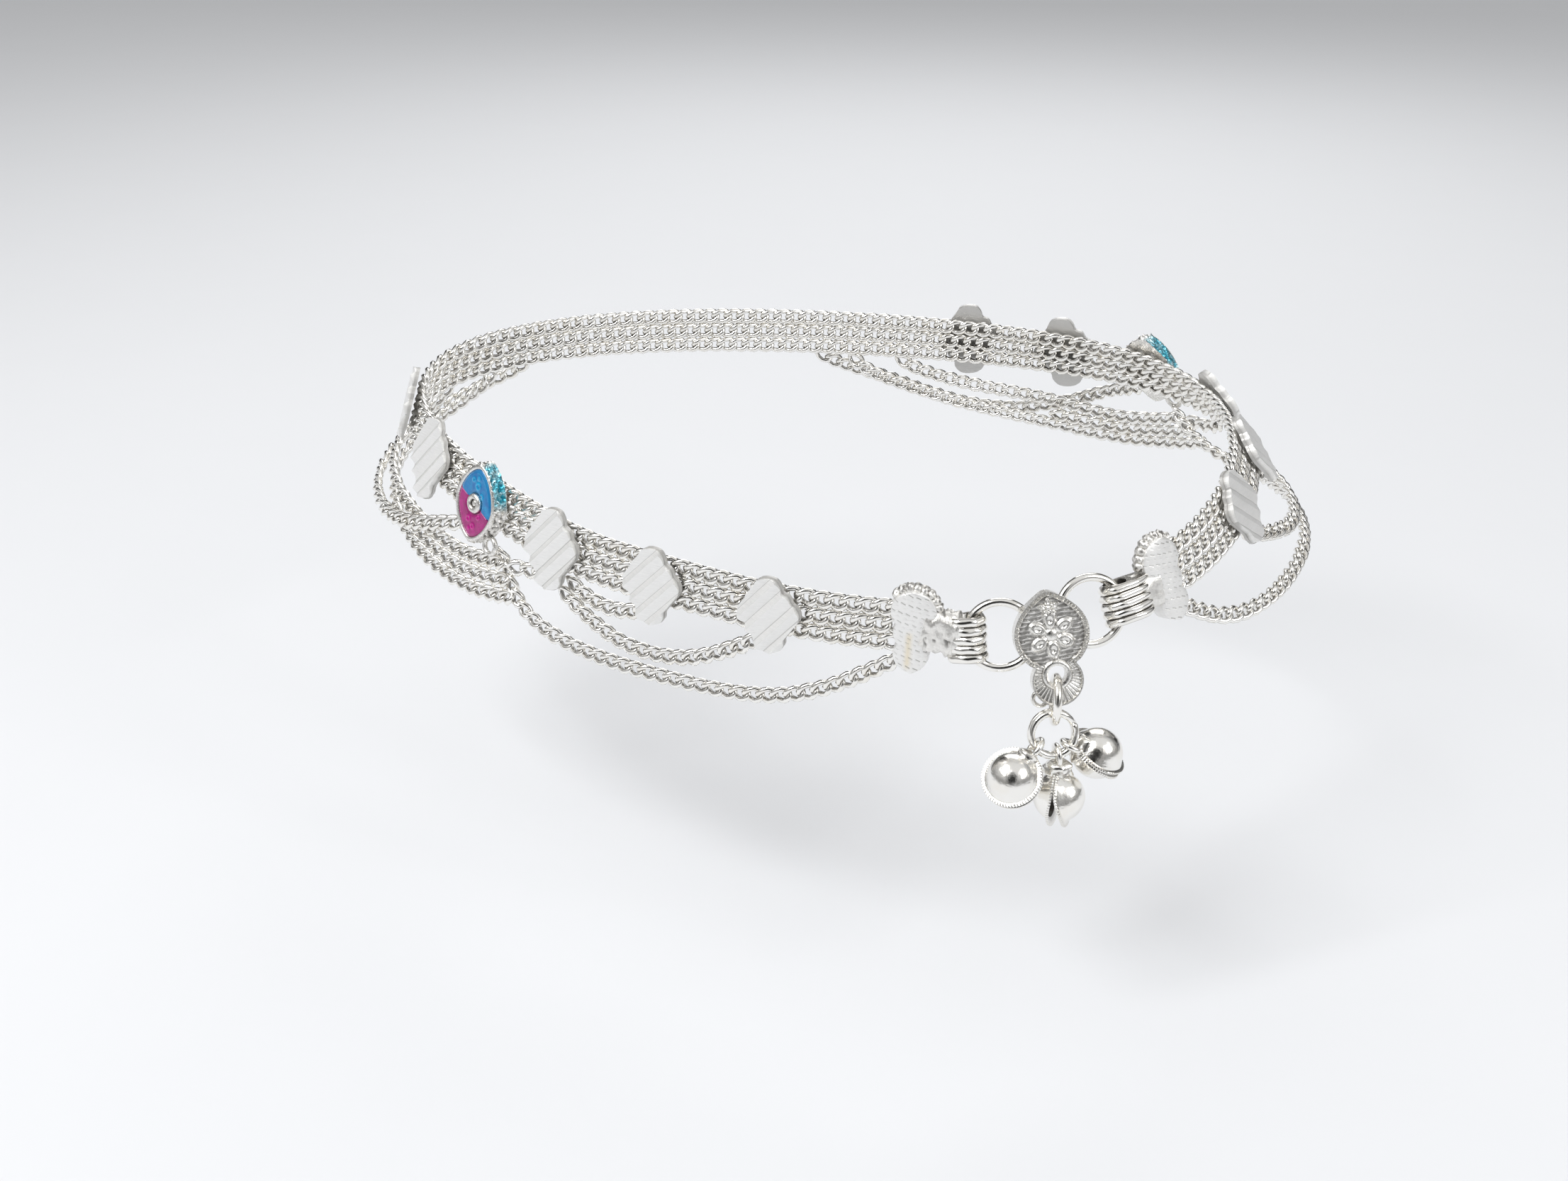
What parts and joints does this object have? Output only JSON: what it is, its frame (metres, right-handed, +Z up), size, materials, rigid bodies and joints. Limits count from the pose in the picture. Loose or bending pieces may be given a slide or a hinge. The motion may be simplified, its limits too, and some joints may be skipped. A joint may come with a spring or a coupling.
{
  "type": "payal anklet",
  "caption": "Silver chain anklet with matt lozenge plates, enamel motifs, hanging chain swags and a clasp with a bell drop, in its worn form.",
  "frame": {"origin": "middle of the ankle hollow, level with the band", "axes": "+X towards the toes, +Y towards the inner side of the ankle, +Z up the leg"},
  "size_m": [0.1117, 0.0743, 0.0327],
  "materials": {
    "chain_silver": "polished links, dark in the gaps",
    "matt_silver": "frosted white silver",
    "cast_silver": "cast, oxidised in the recesses",
    "polished_silver": "polished",
    "blue_enamel": "glossy enamel",
    "rose_enamel": "glossy enamel"
  },
  "bodies": {
    "anklet": {"charm": "cast_silver", "enamel_blue_heel_side": "blue_enamel", "enamel_blue_toe_side": "blue_enamel", "enamel_rose_heel_side": "rose_enamel", "enamel_rose_toe_side": "rose_enamel", "end_cap_heel_side": "matt_silver", "end_cap_toe_side": "matt_silver", "gather_swag_heel_side": "chain_silver", "gather_swag_toe_side": "chain_silver", "heel_cross_swag_heel_side": "chain_silver", "heel_cross_swag_toe_side": "chain_silver", "heel_inner_swag_heel_side": "chain_silver", "heel_inner_swag_toe_side": "chain_silver", "heel_lower_swag_heel_side": "chain_silver", "heel_lower_swag_toe_side": "chain_silver", "heel_middle_swag_heel_side": "chain_silver", "heel_middle_swag_toe_side": "chain_silver", "long_swag_heel_side": "chain_silver", "long_swag_toe_side": "chain_silver", "middle_swag_heel_side": "chain_silver", "middle_swag_toe_side": "chain_silver", "motif_heel_side": "cast_silver", "motif_toe_side": "cast_silver", "plate_fifth_heel_side": "matt_silver", "plate_fifth_toe_side": "matt_silver", "plate_near_heel_side": "matt_silver", "plate_near_toe_side": "matt_silver", "plate_second_heel_side": "matt_silver", "plate_second_toe_side": "matt_silver", "plate_sixth_heel_side": "matt_silver", "plate_sixth_toe_side": "matt_silver", "plate_third_heel_side": "matt_silver", "plate_third_toe_side": "matt_silver", "ring_heel_side": "polished_silver", "ring_toe_side": "polished_silver", "row_lower": "chain_silver", "row_middle": "chain_silver", "row_upper": "chain_silver", "short_swag_heel_side": "chain_silver", "short_swag_toe_side": "chain_silver"},
    "drop": {"drop_link": "polished_silver", "drop_ring": "polished_silver", "bell_left": "polished_silver", "bell_middle": "polished_silver", "bell_right": "polished_silver"}
  },
  "joints": [
    {"name": "drop_swing", "type": "hinge", "parent": "anklet", "child": "drop", "pos_m": [0.02948, -0.03039, -0.00901], "axis": [0.3556, -0.8906, 0.2836], "range_deg": [-40, 40]}
  ]
}
